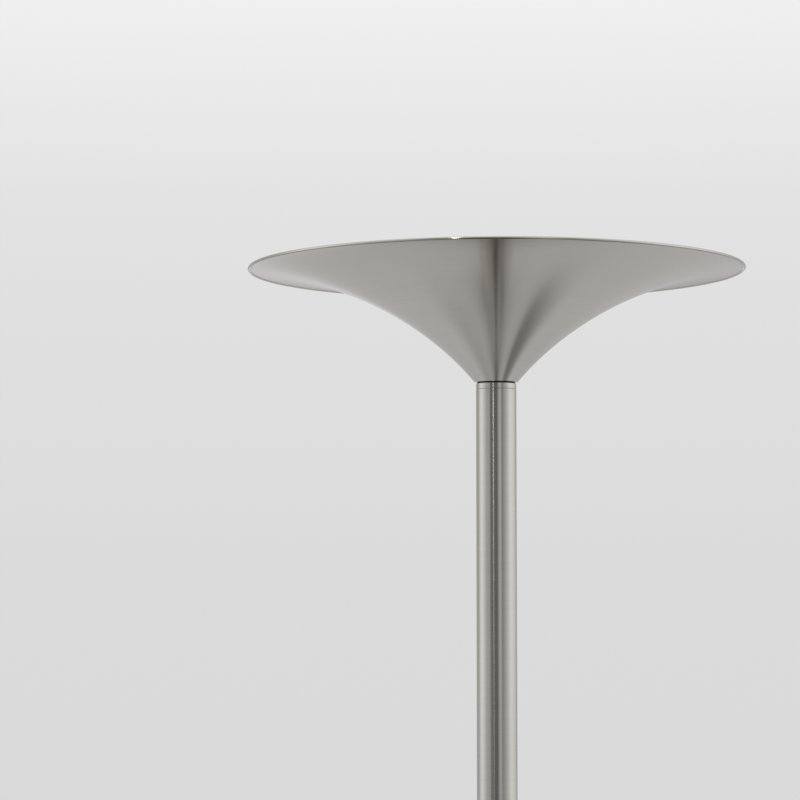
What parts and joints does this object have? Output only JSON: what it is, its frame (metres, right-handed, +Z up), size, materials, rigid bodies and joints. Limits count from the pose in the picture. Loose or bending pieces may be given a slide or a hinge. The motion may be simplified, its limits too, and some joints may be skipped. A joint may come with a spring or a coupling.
{
  "type": "torchiere floor lamp",
  "caption": "Uplighting floor lamp: an upward trumpet shade of brushed nickel on a slim straight pole, with a weighted round base and a dimmer knob on the pole.",
  "frame": {"origin": "middle of the underside of the base, at floor level", "axes": "+Z up along the pole, -Y towards the front with the dimmer knob, +Y to the cord gland"},
  "size_m": [0.3939, 0.394, 1.8],
  "materials": {
    "brushed_nickel": "spun steel plated in satin nickel, fine brushing that runs round the shade and base",
    "turned_nickel": "turned and satin nickel plated rings and washers",
    "knob_nickel": "turned knob, satin nickel",
    "cast_iron": "as cast, black dip painted",
    "black_rubber": "matt black rubber",
    "zinc_steel": "bright zinc plated steel",
    "black_steel": "black oxide steel",
    "black_plastic": "moulded nylon, fine spark texture",
    "white_plastic": "moulded white plastic",
    "circuit_board": "green solder mask",
    "brass_shaft": "turned brass",
    "sink_aluminium": "die cast, bead blasted",
    "white_board": "white solder mask on aluminium board",
    "led_phosphor": "yellow phosphor under clear silicone",
    "white_enamel": "spun aluminium, semi-gloss white enamel",
    "opal_acrylic": "opal acrylic, satin",
    "lead_pvc": "pvc-sheathed lead"
  },
  "bodies": {
    "stand": {"shade": "brushed_nickel", "base_cover": "brushed_nickel", "foot_collar": "turned_nickel", "neck_collar": "turned_nickel", "pole_lower": "brushed_nickel", "pole_middle": "brushed_nickel", "pole_upper": "brushed_nickel", "base_weight": "cast_iron", "base_pad": "black_rubber", "foot_gasket": "black_rubber", "neck_gasket": "black_rubber", "base_rod": "zinc_steel", "base_washer": "zinc_steel", "base_lock_washer": "zinc_steel", "base_nut": "zinc_steel", "head_nipple": "zinc_steel", "head_washer": "zinc_steel", "head_lock_washer": "zinc_steel", "head_nut": "zinc_steel", "head_spacer": "zinc_steel", "insert_lower_top": "zinc_steel", "insert_middle_bottom": "zinc_steel", "insert_middle_top": "zinc_steel", "insert_upper_bottom": "zinc_steel", "joint_stud_1": "zinc_steel", "joint_stud_2": "zinc_steel", "cord_gland": "black_plastic", "gland_nut": "black_plastic", "terminal_block": "white_plastic", "terminal_screws": "zinc_steel", "dimmer_body": "black_plastic", "dimmer_saddle": "turned_nickel", "dimmer_nut": "turned_nickel", "driver_case": "white_plastic", "driver_lid": "white_plastic", "driver_board": "circuit_board", "heat_sink": "sink_aluminium", "led_board": "white_board", "led_chips": "led_phosphor", "led_connector": "white_plastic", "led_board_screws": "zinc_steel", "reflector": "white_enamel", "reflector_screws": "zinc_steel", "mains_lead": "lead_pvc", "dimmed_lead": "lead_pvc", "led_lead": "lead_pvc"},
    "knob": {"dimmer_knob": "knob_nickel", "dimmer_shaft": "brass_shaft", "knob_grub_screw": "black_steel", "knob_pointer": "white_plastic"},
    "diffuser": {"diffuser": "opal_acrylic"}
  },
  "joints": [
    {"name": "dimmer_turn", "type": "hinge", "parent": "stand", "child": "knob", "pos_m": [0, -0.027, 1.2], "axis": [0, 1, 0], "range_deg": [0, 270]},
    {"name": "diffuser_lift", "type": "slide", "parent": "stand", "child": "diffuser", "axis": [0, 0, 1], "range_m": [0, 0.05]}
  ]
}
